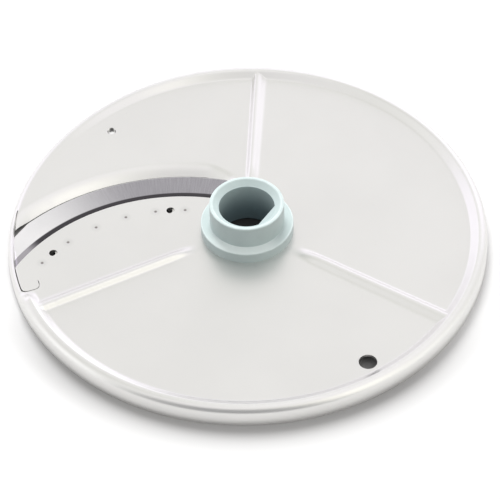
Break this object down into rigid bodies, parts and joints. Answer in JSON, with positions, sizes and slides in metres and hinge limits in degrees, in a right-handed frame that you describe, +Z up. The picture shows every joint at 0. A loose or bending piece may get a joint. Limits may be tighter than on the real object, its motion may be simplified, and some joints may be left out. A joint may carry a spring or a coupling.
{
  "type": "food processor slicing disc",
  "caption": "Round slicing disc for a table-top food processor: rimmed steel plate with radial ribs, a curved blade beside a feed slot, and a moulded drive hub.",
  "frame": {"origin": "on the drive axis, in the plane of the skirt's lower edge, which the disc rests on", "axes": "+Z up along the drive axis, out of the hub's mouth; +Y through the rib that points away from the slot; the slot opens at the -X rim"},
  "size_m": [0.175, 0.175, 0.019],
  "materials": {
    "plate": "satin pressed stainless",
    "blade": "ground bevel",
    "hub": "translucent pale blue-green moulding"
  },
  "bodies": {
    "root": {"disc_plate": "plate", "slicing_blade": "blade", "drive_hub": "hub"}
  },
  "joints": []
}
